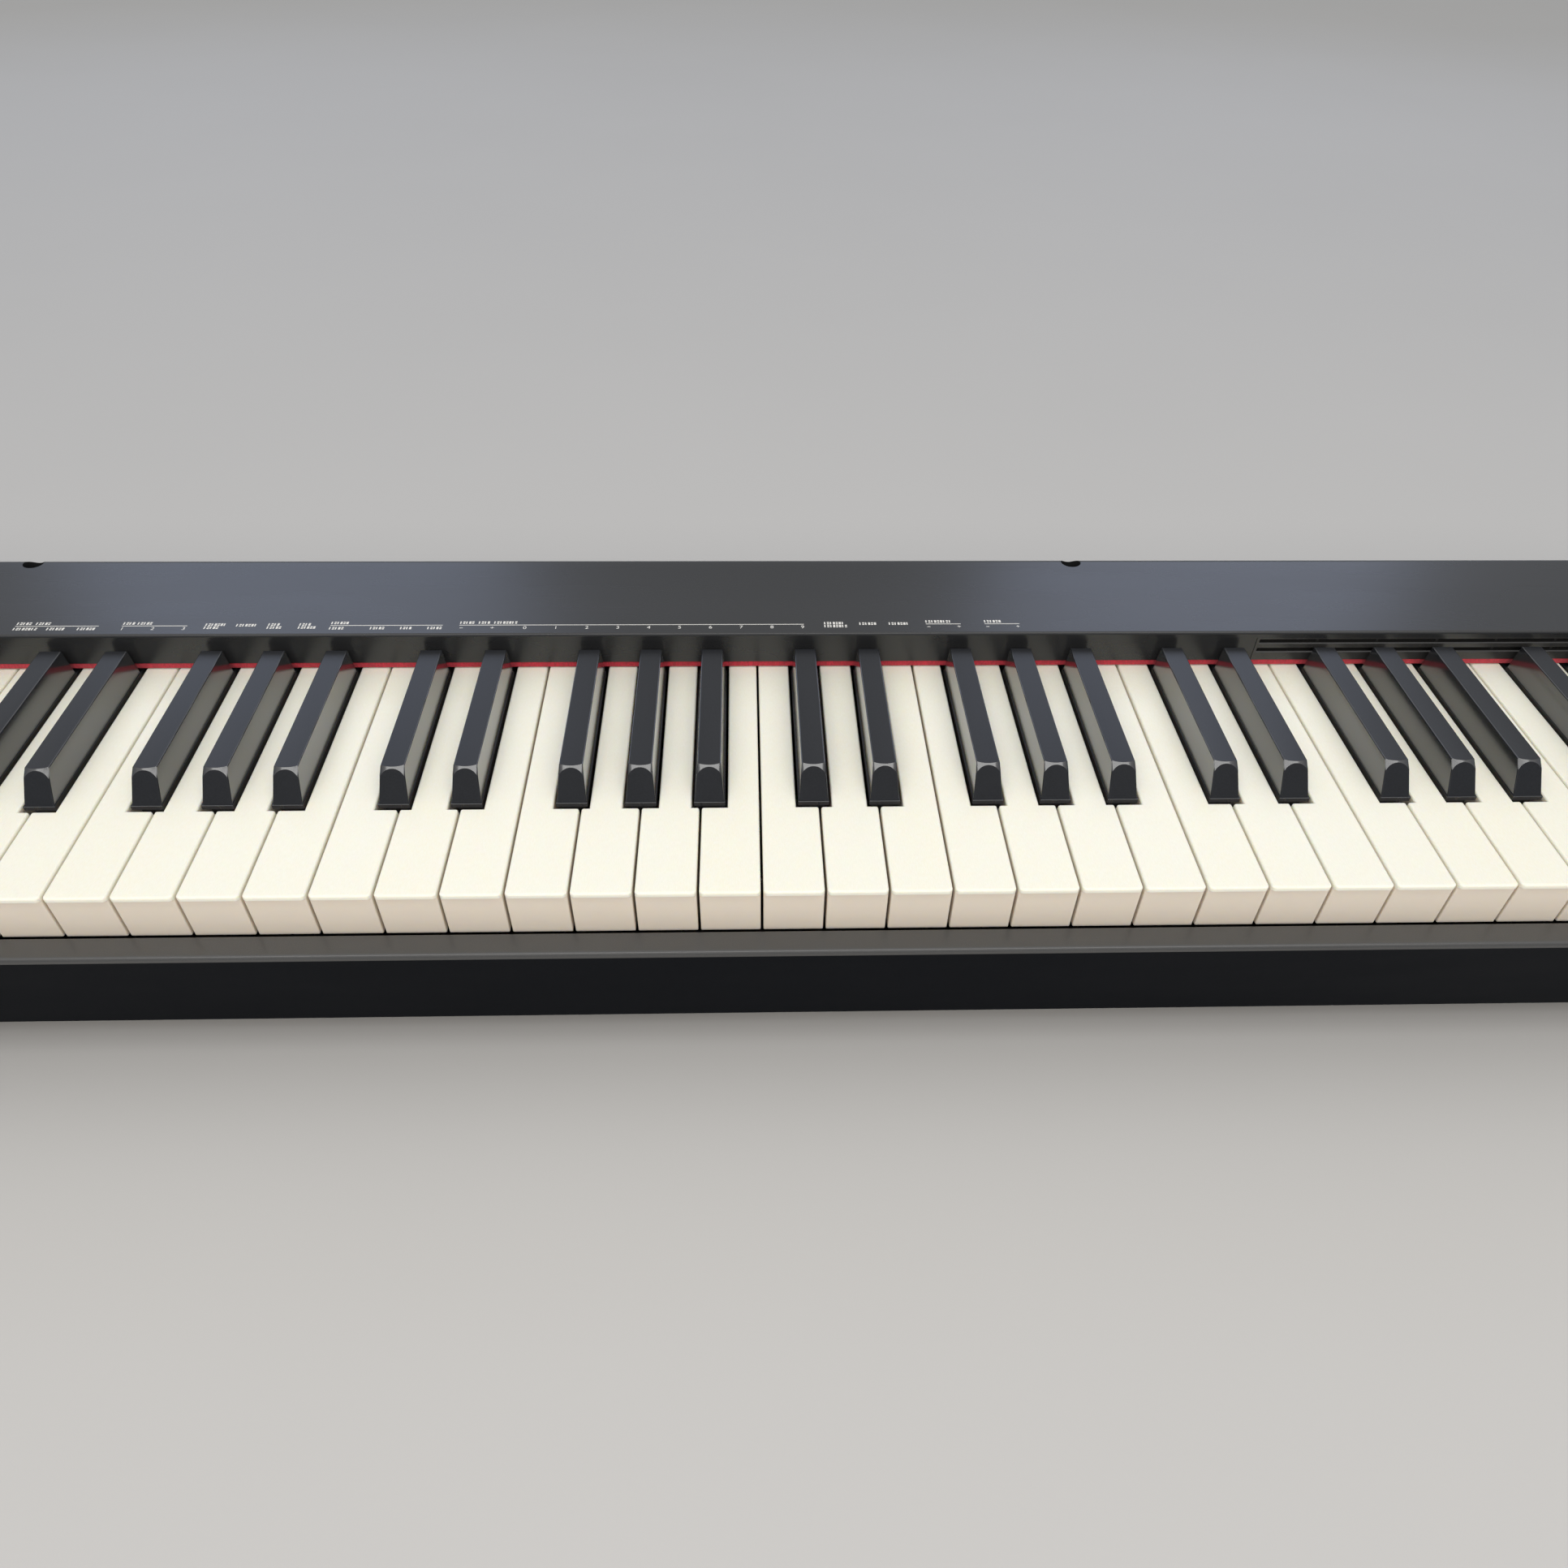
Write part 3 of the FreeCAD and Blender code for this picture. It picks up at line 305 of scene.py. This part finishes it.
MATERIALS = {
    "white_key": ivory(),
    "black_key": ebony(),
    "case": moulded("case", (0.0032, 0.004, 0.0058), 0.5, 1300, 0.02, sheen=0.7, Specular_IOR_Level=0.03),
    "panel": moulded("panel", (0.0145, 0.015, 0.016), 0.28, 2200, 0.005, Specular_IOR_Level=0.62),
    "rail": moulded("rail", (0.047, 0.047, 0.0465), 0.24, 2200, 0.005, edge_wear_and_highlight=1.3, Specular_IOR_Level=0.7),
    "grille": moulded("grille", (0.026, 0.0258, 0.0255), 0.28, 2200, 0.004, Specular_IOR_Level=0.6),
    "red_felt": felt("red_felt", (0.42, 0.012, 0.03)),
    "button": moulded("button", (0.035, 0.035, 0.037), 0.45, 2600, 0.006, edge_wear_and_highlight=2.0),
    "knob": moulded("knob", (0.02, 0.02, 0.022), 0.5, 2400, 0.01),
    "lamp": lens("lamp", (0.42, 0.03, 0.02)),
    "circuit_board": circuit(),
    "grey_rubber": rubber("grey_rubber", (0.3, 0.3, 0.31)),
    "foot_rubber": rubber("foot_rubber", (0.02, 0.02, 0.02)),
    "screw_steel": metal("screw_steel", (0.08, 0.08, 0.085), 0.35),
    "insert_brass": metal("insert_brass", (0.72, 0.52, 0.24), 0.28, (1, 1, 0.1)),
    "cover": moulded("cover", (0.0075, 0.0085, 0.0105), 0.5, 1300, 0.02),
    "contact_spring": metal("contact_spring", (0.7, 0.7, 0.68), 0.2),
    "frame_plastic": moulded("frame_plastic", (0.03, 0.03, 0.032), 0.55, 900, 0.02),
    "rod_steel": metal("rod_steel", (0.55, 0.55, 0.56), 0.25, (0.05, 1, 1)),
    "hammer_steel": metal("hammer_steel", (0.2, 0.2, 0.21), 0.4, (1, 0.1, 1)),
    "grey_felt": felt("grey_felt", (0.16, 0.16, 0.155)),
    "socket_plastic": moulded("socket_plastic", (0.012, 0.012, 0.013), 0.45, 1800, 0.01),
    "speaker": moulded("speaker", (0.02, 0.02, 0.021), 0.7, 500, 0.06),
}
INK = ink("print_ink", (0.78, 0.77, 0.73))
GRILLE_CLOTH = cloth("grille_cloth", (0.012, 0.012, 0.013))


def finish_cad_nodes():
    """Gives each CAD node the material of its slot."""
    for row in frame["record"]["subparts"]:
        node = frame["nodes"][row["node"]]
        node.data.materials.clear()
        node.data.materials.append(MATERIALS[row["material_slot"]])


# ---------------------------------------------------------------- mesh helpers
def new_piece(name, bm, material, body=CASE):
    """A visible piece that rides on a body, from the mesh in bm, which it frees."""
    mesh = bpy.data.meshes.new(name)
    bmesh.ops.recalc_face_normals(bm, faces=bm.faces)
    bm.to_mesh(mesh)
    bm.free()
    mesh.materials.append(material)
    piece = bpy.data.objects.new(name, mesh)
    bpy.context.scene.collection.objects.link(piece)
    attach(piece, body)
    return piece


def add_box(bm, low, high):
    """A box between two opposite corners."""
    made = bmesh.ops.create_cube(bm, size=1)["verts"]
    size = Vector(high) - Vector(low)
    bmesh.ops.scale(bm, vec=size, verts=made)
    bmesh.ops.translate(bm, vec=Vector(low) + size / 2, verts=made)


def in_metres(points):
    """Pairs of millimetres as pairs of metres."""
    return [(a * MM, b * MM) for a, b in points]


def prism(bm, corners, height):
    """A flat outline with thickness upwards."""
    loft(bm, [[bm.verts.new(c + Vector((0, 0, z))) for c in corners] for z in (0, height)])


def loft(bm, loops, capped=True):
    """Joins each closed loop of points to the next."""
    if capped:
        bm.faces.new(loops[0][::-1])
        bm.faces.new(loops[-1])
    for low, high in zip(loops, loops[1:]):
        for k in range(len(low)):
            after = (k + 1) % len(low)
            bm.faces.new((low[k], low[after], high[after], high[k]))


def quads(bm, grid):
    """A sheet over a grid of points."""
    for low, high in zip(grid, grid[1:]):
        for k in range(len(low) - 1):
            bm.faces.new((low[k], low[k + 1], high[k + 1], high[k]))


def turned(bm, place, outline, along=(0, 0, 1), steps=24, ring=False):
    """Turns an outline of (radius, distance) pairs round the axis along, through place.

    A ring's outline is closed; any other shape is capped at both ends."""
    turn = Vector((0, 0, 1)).rotation_difference(Vector(along)).to_matrix()
    loops = []
    for radius, distance in outline:
        angles = [2 * math.pi * k / steps for k in range(steps)]
        spots = [Vector((radius * math.cos(a), radius * math.sin(a), distance)) for a in angles]
        loops.append([bm.verts.new(Vector(place) + turn @ spot) for spot in spots])
    if ring:
        loops.append(loops[0])
    loft(bm, loops, capped=not ring)


def middle_of(node):
    low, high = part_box(node)
    return (low + high) / 2


def add_text(bm, text, size, place):
    """Raised figures, centred on place."""
    curve = bpy.data.curves.new("figures", "FONT")
    curve.body, curve.size = text, size
    curve.align_x, curve.align_y = "CENTER", "CENTER"
    curve.extrude = INK_HEIGHT / 2
    holder = bpy.data.objects.new("figures", curve)
    bpy.context.scene.collection.objects.link(holder)
    bpy.context.view_layer.update()
    mesh = bpy.data.meshes.new_from_object(holder)
    mesh.transform(Matrix.Translation(place))
    bm.from_mesh(mesh)
    bpy.data.objects.remove(holder)
    bpy.data.meshes.remove(mesh)
    bpy.data.curves.remove(curve)


# ---------------------------------------------------------------- panel print
INK_HEIGHT = 0.03 * MM
PRINT_TOP = PANEL_TOP + INK_HEIGHT
RULE_Y = WALL_Y + 7.7 * MM
RULE_WIDTH = 0.42 * MM
FIGURE_Y = RULE_Y - 2.3 * MM
FIGURE = 3.3 * MM
FIGURE_STEP = 13.68
LETTER, LETTER_STEP, LETTER_TALL = 0.95 * MM, 1.32 * MM, 2.0 * MM

# Rows of words, as heights above the rule: over it, under it, and two or one on keys with no rule.
OVER, UNDER, UPPER, LOWER, ALONE = 2.1, -2.3, 0.9, -1.6, 0.4


def rule(bm, x0, x1):
    """A printed line from x0 to x1, in millimetres."""
    low = (x0 * MM, RULE_Y - RULE_WIDTH / 2, PANEL_TOP)
    add_box(bm, low, (x1 * MM, RULE_Y + RULE_WIDTH / 2, PRINT_TOP))


def word(bm, x, y, letters):
    """A stand-in for a printed word: one small block for each letter, every third one open in the middle."""
    for k in range(letters):
        left = x * MM + k * LETTER_STEP
        right = left + LETTER
        foot, top = y - LETTER_TALL / 2, y + LETTER_TALL / 2
        if k % 3 == 1:
            add_box(bm, (left, foot, PANEL_TOP), (right, y - 0.2 * MM, PRINT_TOP))
            add_box(bm, (left, y + 0.25 * MM, PANEL_TOP), (right, top, PRINT_TOP))
        else:
            add_box(bm, (left, foot, PANEL_TOP), (left + LETTER * (0.6 + 0.4 * (k % 2)), top, PRINT_TOP))


def panel_print():
    """Rules, figures, signs and word marks along the front of the panel."""
    bm = bmesh.new()
    for x0, x1 in (
        (-231.0, -195.0), (-185.0, -156.7), (-94.4, -45.2), (-37.8, 114.9), (169.7, 185.4), (196.2, 211.9),
    ):
        rule(bm, x0, x1)
    signs = [("+", -23.1), ("1", -184.2), ("2", -171.0), ("3", -157.6)]
    signs += [(str(n), -8.8 + FIGURE_STEP * n) for n in range(10)]
    signs += [("+", 184.4), ("+", 210.9)]
    for text, x in signs:
        add_text(bm, text, FIGURE, (x * MM, FIGURE_Y, PANEL_TOP + INK_HEIGHT / 2))
    for x in (-36.7, 170.8, 197.3):
        low = ((x - 0.7) * MM, FIGURE_Y - 0.2 * MM, PANEL_TOP)
        add_box(bm, low, ((x + 0.7) * MM, FIGURE_Y + 0.2 * MM, PRINT_TOP))
    for x, row, letters in (
        (-231.0, OVER, 5), (-222.8, OVER, 5), (-231.0, UNDER, 8), (-216.6, UNDER, 6), (-203.4, UNDER, 6),
        (-185.0, OVER, 4), (-178.8, OVER, 5),
        (-149.0, UPPER, 7), (-149.0, LOWER, 5), (-135.5, ALONE, 7),
        (-121.7, UPPER, 4), (-121.7, LOWER, 5), (-108.1, UPPER, 4), (-108.1, LOWER, 6),
        (-94.4, OVER, 6), (-94.4, UNDER, 5), (-76.6, UNDER, 5), (-63.4, UNDER, 4), (-51.5, UNDER, 5),
        (-37.8, OVER, 5), (-29.6, OVER, 4), (-22.8, OVER, 8),
        (124.0, UPPER, 7), (124.0, LOWER, 8), (139.8, ALONE, 6),
        (153.0, ALONE, 7), (169.7, OVER, 9), (196.2, OVER, 6),
    ):
        word(bm, x, RULE_Y + row * MM, letters)
    bmesh.ops.remove_doubles(bm, verts=bm.verts, dist=0.001 * MM)
    new_piece("panel_print", bm, INK)


def control_print():
    """Power sign, slider scale, word marks and a ring round the lamp."""
    bm = bmesh.new()
    power, slider, lamp = middle_of("power_button"), middle_of("volume_slider"), middle_of("power_lamp")
    power_sign(bm, Vector((power.x, power.y - 10.5 * MM, PANEL_TOP)))
    for k in range(11):
        x = slider.x + (k - 5) * 3 * MM
        y = slider.y - 7.0 * MM
        length = (1.2 + 0.16 * k) * MM
        add_box(bm, (x - 0.2 * MM, y - length, PANEL_TOP), (x + 0.2 * MM, y, PRINT_TOP))
    for name in ("function_button", "grand_piano_button", "electric_piano_button"):
        place = middle_of(name)
        word(bm, (place.x - 5.2 * MM) / MM, place.y - 7.4 * MM, 8)
    inner, outer = 1.7 * MM, 2.1 * MM
    turned(bm, (lamp.x, lamp.y, PANEL_TOP), [(inner, 0), (inner, INK_HEIGHT), (outer, INK_HEIGHT), (outer, 0)])
    new_piece("control_print", bm, INK)


def power_sign(bm, centre):
    """A ring that is open at the top, with a stroke through the opening."""
    steps, inner, outer = 28, 1.55 * MM, 2.0 * MM
    for k in range(steps):
        start, end = (math.radians(130 + 280 * (k + d) / steps) for d in (0, 1))
        spots = ((start, inner), (start, outer), (end, outer), (end, inner))
        prism(bm, [centre + Vector((math.cos(a), math.sin(a), 0)) * r for a, r in spots], INK_HEIGHT)
    add_box(bm, centre + Vector((-0.22, 0.4, 0)) * MM, (centre.x + 0.22 * MM, centre.y + 2.6 * MM, PRINT_TOP))


def button_marks():
    """A raised dot on each control button, to find it by touch."""
    for name in ("function_button", "grand_piano_button", "electric_piano_button", "power_button"):
        low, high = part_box(name)
        place = ((low.x + high.x) / 2, (low.y + high.y) / 2, high.z)
        bm = bmesh.new()
        turned(bm, place, in_metres([(0.9, -0.05), (0.85, 0.08), (0.6, 0.16), (0.2, 0.2)]))
        new_piece(name + "_dot", bm, INK, name)


# ---------------------------------------------------------------- trim
def sound_cloth():
    """Acoustic cloth glued behind the slots of each sound grille, sagging a little between the posts."""
    for side in ("left", "right"):
        low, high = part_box("sound_grille_" + side)
        bm = bmesh.new()
        columns, rows, bays = 240, 8, 10
        foot, tall = low.z + 1.5 * MM, high.z - low.z - 2.5 * MM
        grid = []
        for i in range(columns + 1):
            x = low.x + (high.x - low.x) * i / columns
            across = abs(math.sin(math.pi * i * bays / columns))
            line = []
            for j in range(rows + 1):
                sag = 0.35 * MM * across * math.sin(math.pi * j / rows)
                line.append(bm.verts.new((x, high.y + 0.1 * MM + sag, foot + tall * j / rows)))
            grid.append(line)
        quads(bm, grid)
        bmesh.ops.solidify(bm, geom=bm.faces[:], thickness=0.25 * MM)
        new_piece("sound_cloth_" + side, bm, GRILLE_CLOTH)


def vent_cloth():
    """Dust cloth showing in the rear vents, in front of each speaker."""
    for side, sign in (("left", -1), ("right", 1)):
        centre = middle_of("speaker_" + side)
        bm = bmesh.new()
        for k in range(-7, 8):
            x = (sign * SPEAKER_X + VENT_STEP * k) * MM
            reach = (VENT_REACH * math.sqrt(1 - (k / 8) ** 2) - 0.05) * MM
            grid = []
            for i in range(5):
                across = x + (i / 2 - 1) * VENT_HALF_WIDTH * MM
                bulge = 0.25 * MM * math.sin(math.pi * i / 4)
                heights = [centre.z + reach * (j / 6 - 1) for j in range(13)]
                grid.append([bm.verts.new((across, BACK - 2.4 * MM + bulge, z)) for z in heights])
            quads(bm, grid)
        bmesh.ops.solidify(bm, geom=bm.faces[:], thickness=0.2 * MM)
        new_piece("vent_cloth_" + side, bm, GRILLE_CLOTH)


def socket_trim():
    """Metal linings, pins and contacts inside the rear sockets."""
    low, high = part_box("rear_sockets")
    z, back = (low.z + high.z) / 2, high.y
    floor_y = back - SOCKET_DEEP * MM
    lining, insulator = bmesh.new(), bmesh.new()
    for x, radius in ((POWER_X, POWER_R), *JACKS):
        out, wall = (radius - 0.03) * MM, 0.4 * MM
        foot, mouth = floor_y + 0.1 * MM, back - 0.15 * MM
        outline = [(out, foot), (out, mouth), (out - 0.15 * MM, mouth + 0.1 * MM),
                   (out - wall, mouth - 0.1 * MM), (out - wall, foot)]
        turned(lining, (x * MM, 0, z), outline, along=(0, 1, 0), steps=40, ring=True)
    pin = in_metres([(0.3, 6.8), (0.62, 6.6), (0.8, 6.2), (0.8, 0.1)])
    turned(lining, (POWER_X * MM, floor_y, z), pin, along=(0, 1, 0))
    for x, radius in JACKS:
        leaf_contact(lining, x * MM, z + (radius - 0.5) * MM, floor_y)
    usb_port(lining, insulator, Vector((USB_X * MM, floor_y, z)), back)
    new_piece("socket_linings", lining, MATERIALS["contact_spring"])
    new_piece("usb_tongue", insulator, MATERIALS["grey_rubber"])


def usb_port(lining, insulator, root, back):
    """A shell, a tongue and four contacts on each side of it; root is the middle of the socket's floor."""

    def block(bm, x0, y0, z0, x1, y1, z1):
        add_box(bm, (root.x + x0 * MM, y0, root.z + z0 * MM), (root.x + x1 * MM, y1, root.z + z1 * MM))

    foot = root.y + 0.05 * MM
    block(insulator, -2.8, foot, -1.5, 2.8, back - 2.4 * MM, 1.5)
    for k in range(4):
        left = (k - 1.8) * 1.2
        for height in (-1.62, 1.5):
            block(lining, left, root.y + 1 * MM, height, left + 0.7, back - 2.8 * MM, height + 0.12)
    for x0, z0, x1, z1 in (
        (-4.38, -3.98, 4.38, -3.7), (-4.38, 3.7, 4.38, 3.98), (-4.38, -3.7, -4.1, 3.7), (4.1, -3.7, 4.38, 3.7),
    ):
        block(lining, x0, foot, z0, x1, back - 0.2 * MM, z1)


def leaf_contact(bm, x, z, floor_y):
    """A sprung strip that bows down into a jack socket."""
    loops = []
    for k in range(9):
        y = floor_y + (0.6 + 0.9 * k) * MM
        drop = 0.8 * MM * math.sin(math.pi * k / 8)
        loops.append([bm.verts.new((x + side * 0.5 * MM, y, z - drop + lift * MM))
                      for side, lift in ((-1, 0), (1, 0), (1, 0.15), (-1, 0.15))])
    loft(bm, loops)


def moulded_feet():
    """Rubber feet with ringed soles and a sunk screw each, in place of the plain ones."""
    rubber_bm, screw_bm = bmesh.new(), bmesh.new()
    sole = in_metres([
        (0.1, 3.0), (3.0, 3.0), (3.3, 0.4), (3.7, 0.0), (5.4, 0.0), (5.6, 0.7), (6.2, 0.7), (6.4, 0.0), (8.0, 0.0),
        (8.2, 0.7), (8.8, 0.7), (9.0, 0.0), (9.7, 0.0), (10.3, 0.25), (10.7, 0.9), (11.85, 7.4), (11.95, 8.0),
    ])
    head = in_metres([(0.1, 2.4), (0.9, 2.4), (1.2, 1.7), (2.1, 1.9), (2.55, 2.3), (2.6, 2.98)])
    for x, y in FEET:
        place = (x * MM, y * MM, 0)
        turned(rubber_bm, place, sole, steps=64)
        turned(screw_bm, place, head, steps=32)
    feet = new_piece("moulded_feet", rubber_bm, MATERIALS["foot_rubber"])
    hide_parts("rubber_feet")
    new_piece("foot_screws", screw_bm, MATERIALS["screw_steel"])


def felt_nap():
    """Loose fibres along the felt strip."""
    low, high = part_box("felt_strip")
    chance = random.Random(11)
    fibres = 9000
    bm = bmesh.new()
    for _ in range(fibres):
        x, z = chance.uniform(low.x, high.x), chance.uniform(low.z, high.z - 0.1 * MM)
        root = Vector((x, low.y + 0.03 * MM, z))
        lean = Vector((chance.uniform(-0.4, 0.4), -chance.uniform(0.05, 0.16), chance.uniform(-0.25, 0.1))) * MM
        corners = ((-0.03, 0), (0.03, 0), (0, 0.04))
        base = [bm.verts.new(root + Vector((dx, 0, dz)) * MM) for dx, dz in corners]
        tip = bm.verts.new(root + lean)
        bm.faces.new(base)
        for k in range(3):
            bm.faces.new((base[k], base[k - 1], tip))
    new_piece("felt_nap", bm, MATERIALS["red_felt"])


# ---------------------------------------------------------------- stage
FLOOR_REACH = 12


def floor():
    """A plain pale floor, which isn't part of the object."""
    bm = bmesh.new()
    bmesh.ops.create_grid(bm, x_segments=2, y_segments=2, size=FLOOR_REACH)
    mesh = bpy.data.meshes.new("floor")
    bm.to_mesh(mesh)
    bm.free()
    ground = bpy.data.objects.new("floor", mesh)
    s = Shader("floor_paint", (0.50, 0.495, 0.485), 0.8)
    s.set_colour(s.mix(s.noise(3, detail=3), (0.49, 0.485, 0.475), (0.51, 0.505, 0.495)))
    s.bump(s.noise(300, detail=3), 0.02)
    mesh.materials.append(s.material)
    bpy.context.scene.collection.objects.link(ground)


def area_light(name, place, aim, size, watts, colour):
    """A rectangular soft light at place, turned towards aim."""
    data = bpy.data.lights.new(name, "AREA")
    data.shape = "RECTANGLE"
    data.size, data.size_y = size
    data.energy = watts
    data.color = colour
    lamp = bpy.data.objects.new(name, data)
    lamp.location = place
    lamp.rotation_euler = (Vector(aim) - Vector(place)).to_track_quat("-Z", "Y").to_euler()
    bpy.context.scene.collection.objects.link(lamp)
    return lamp


def sky():
    """A soft dome, brighter towards the top and a little blue near the horizon."""
    world = bpy.data.worlds.new("studio")
    world.use_nodes = True
    nodes, links = world.node_tree.nodes, world.node_tree.links
    split = nodes.new("ShaderNodeSeparateXYZ")
    links.new(nodes.new("ShaderNodeTexCoord").outputs["Generated"], split.inputs[0])
    ramp = nodes.new("ShaderNodeValToRGB")
    links.new(split.outputs["Z"], ramp.inputs["Fac"])
    stops = ((0.0, (0.22, 0.24, 0.26)), (0.17, (0.28, 0.30, 0.32)), (0.5, (0.50, 0.51, 0.53)),
             (0.62, (0.62, 0.62, 0.63)), (0.71, (0.82, 0.81, 0.80)), (1.0, (1.0, 1.0, 1.0)))
    elements = ramp.color_ramp.elements
    for height, _ in stops[1:-1]:
        elements.new(height)
    for element, (height, colour) in zip(elements, stops):
        element.position, element.color = height, (*colour, 1)
    background = nodes["Background"]
    links.new(ramp.outputs["Color"], background.inputs["Color"])
    background.inputs["Strength"].default_value = 0.92
    bpy.context.scene.world = world


def lights():
    """The sky, an overhead and a front light, and two cool windows behind."""
    sky()
    area_light("overhead", (0.1, -0.6, 2.0), (0.1, 0, 0), (2.8, 0.4), 9.5, (1.0, 0.99, 0.97))
    fill = area_light("front", (0.1, -1.6, 1.05), (0.1, 0, 0.05), (2.2, 0.5), 21, (1.0, 0.94, 0.87))
    fill.visible_glossy = False  # it would glare on the leaning fronts of the black keys
    area_light("window_left", (-0.9, 2.0, 1.2), (-0.1, 0, 0.1), (0.95, 0.8), 2.8, (0.60, 0.71, 1.0))
    area_light("window_right", (1.1, 2.0, 1.2), (0.3, 0, 0.1), (0.9, 0.8), 2.8, (0.62, 0.72, 1.0))


def camera():
    """A camera at the photograph's viewpoint."""
    yaw, pitch, roll = (math.radians(a) for a in (YAW, PITCH, ROLL))
    forward = Vector((math.sin(yaw) * math.cos(pitch), math.cos(yaw) * math.cos(pitch), -math.sin(pitch)))
    level = Vector((math.cos(yaw), -math.sin(yaw), 0))
    upright = level.cross(forward)
    right = level * math.cos(roll) + upright * math.sin(roll)
    up = upright * math.cos(roll) - level * math.sin(roll)
    data = bpy.data.cameras.new("view")
    data.lens, data.sensor_width, data.shift_y = LENS, SENSOR, RISE
    data.clip_start, data.clip_end = 0.01, 100
    eye = bpy.data.objects.new("view", data)
    eye.matrix_world = Matrix((right, up, -forward)).transposed().to_4x4()
    eye.location = EYE
    bpy.context.scene.collection.objects.link(eye)
    bpy.context.scene.camera = eye


# ---------------------------------------------------------------- build
finish_cad_nodes()
panel_print()
control_print()
button_marks()
sound_cloth()
vent_cloth()
socket_trim()
moulded_feet()
felt_nap()
floor()
lights()
camera()
bpy.context.scene.view_settings.view_transform = "Standard"
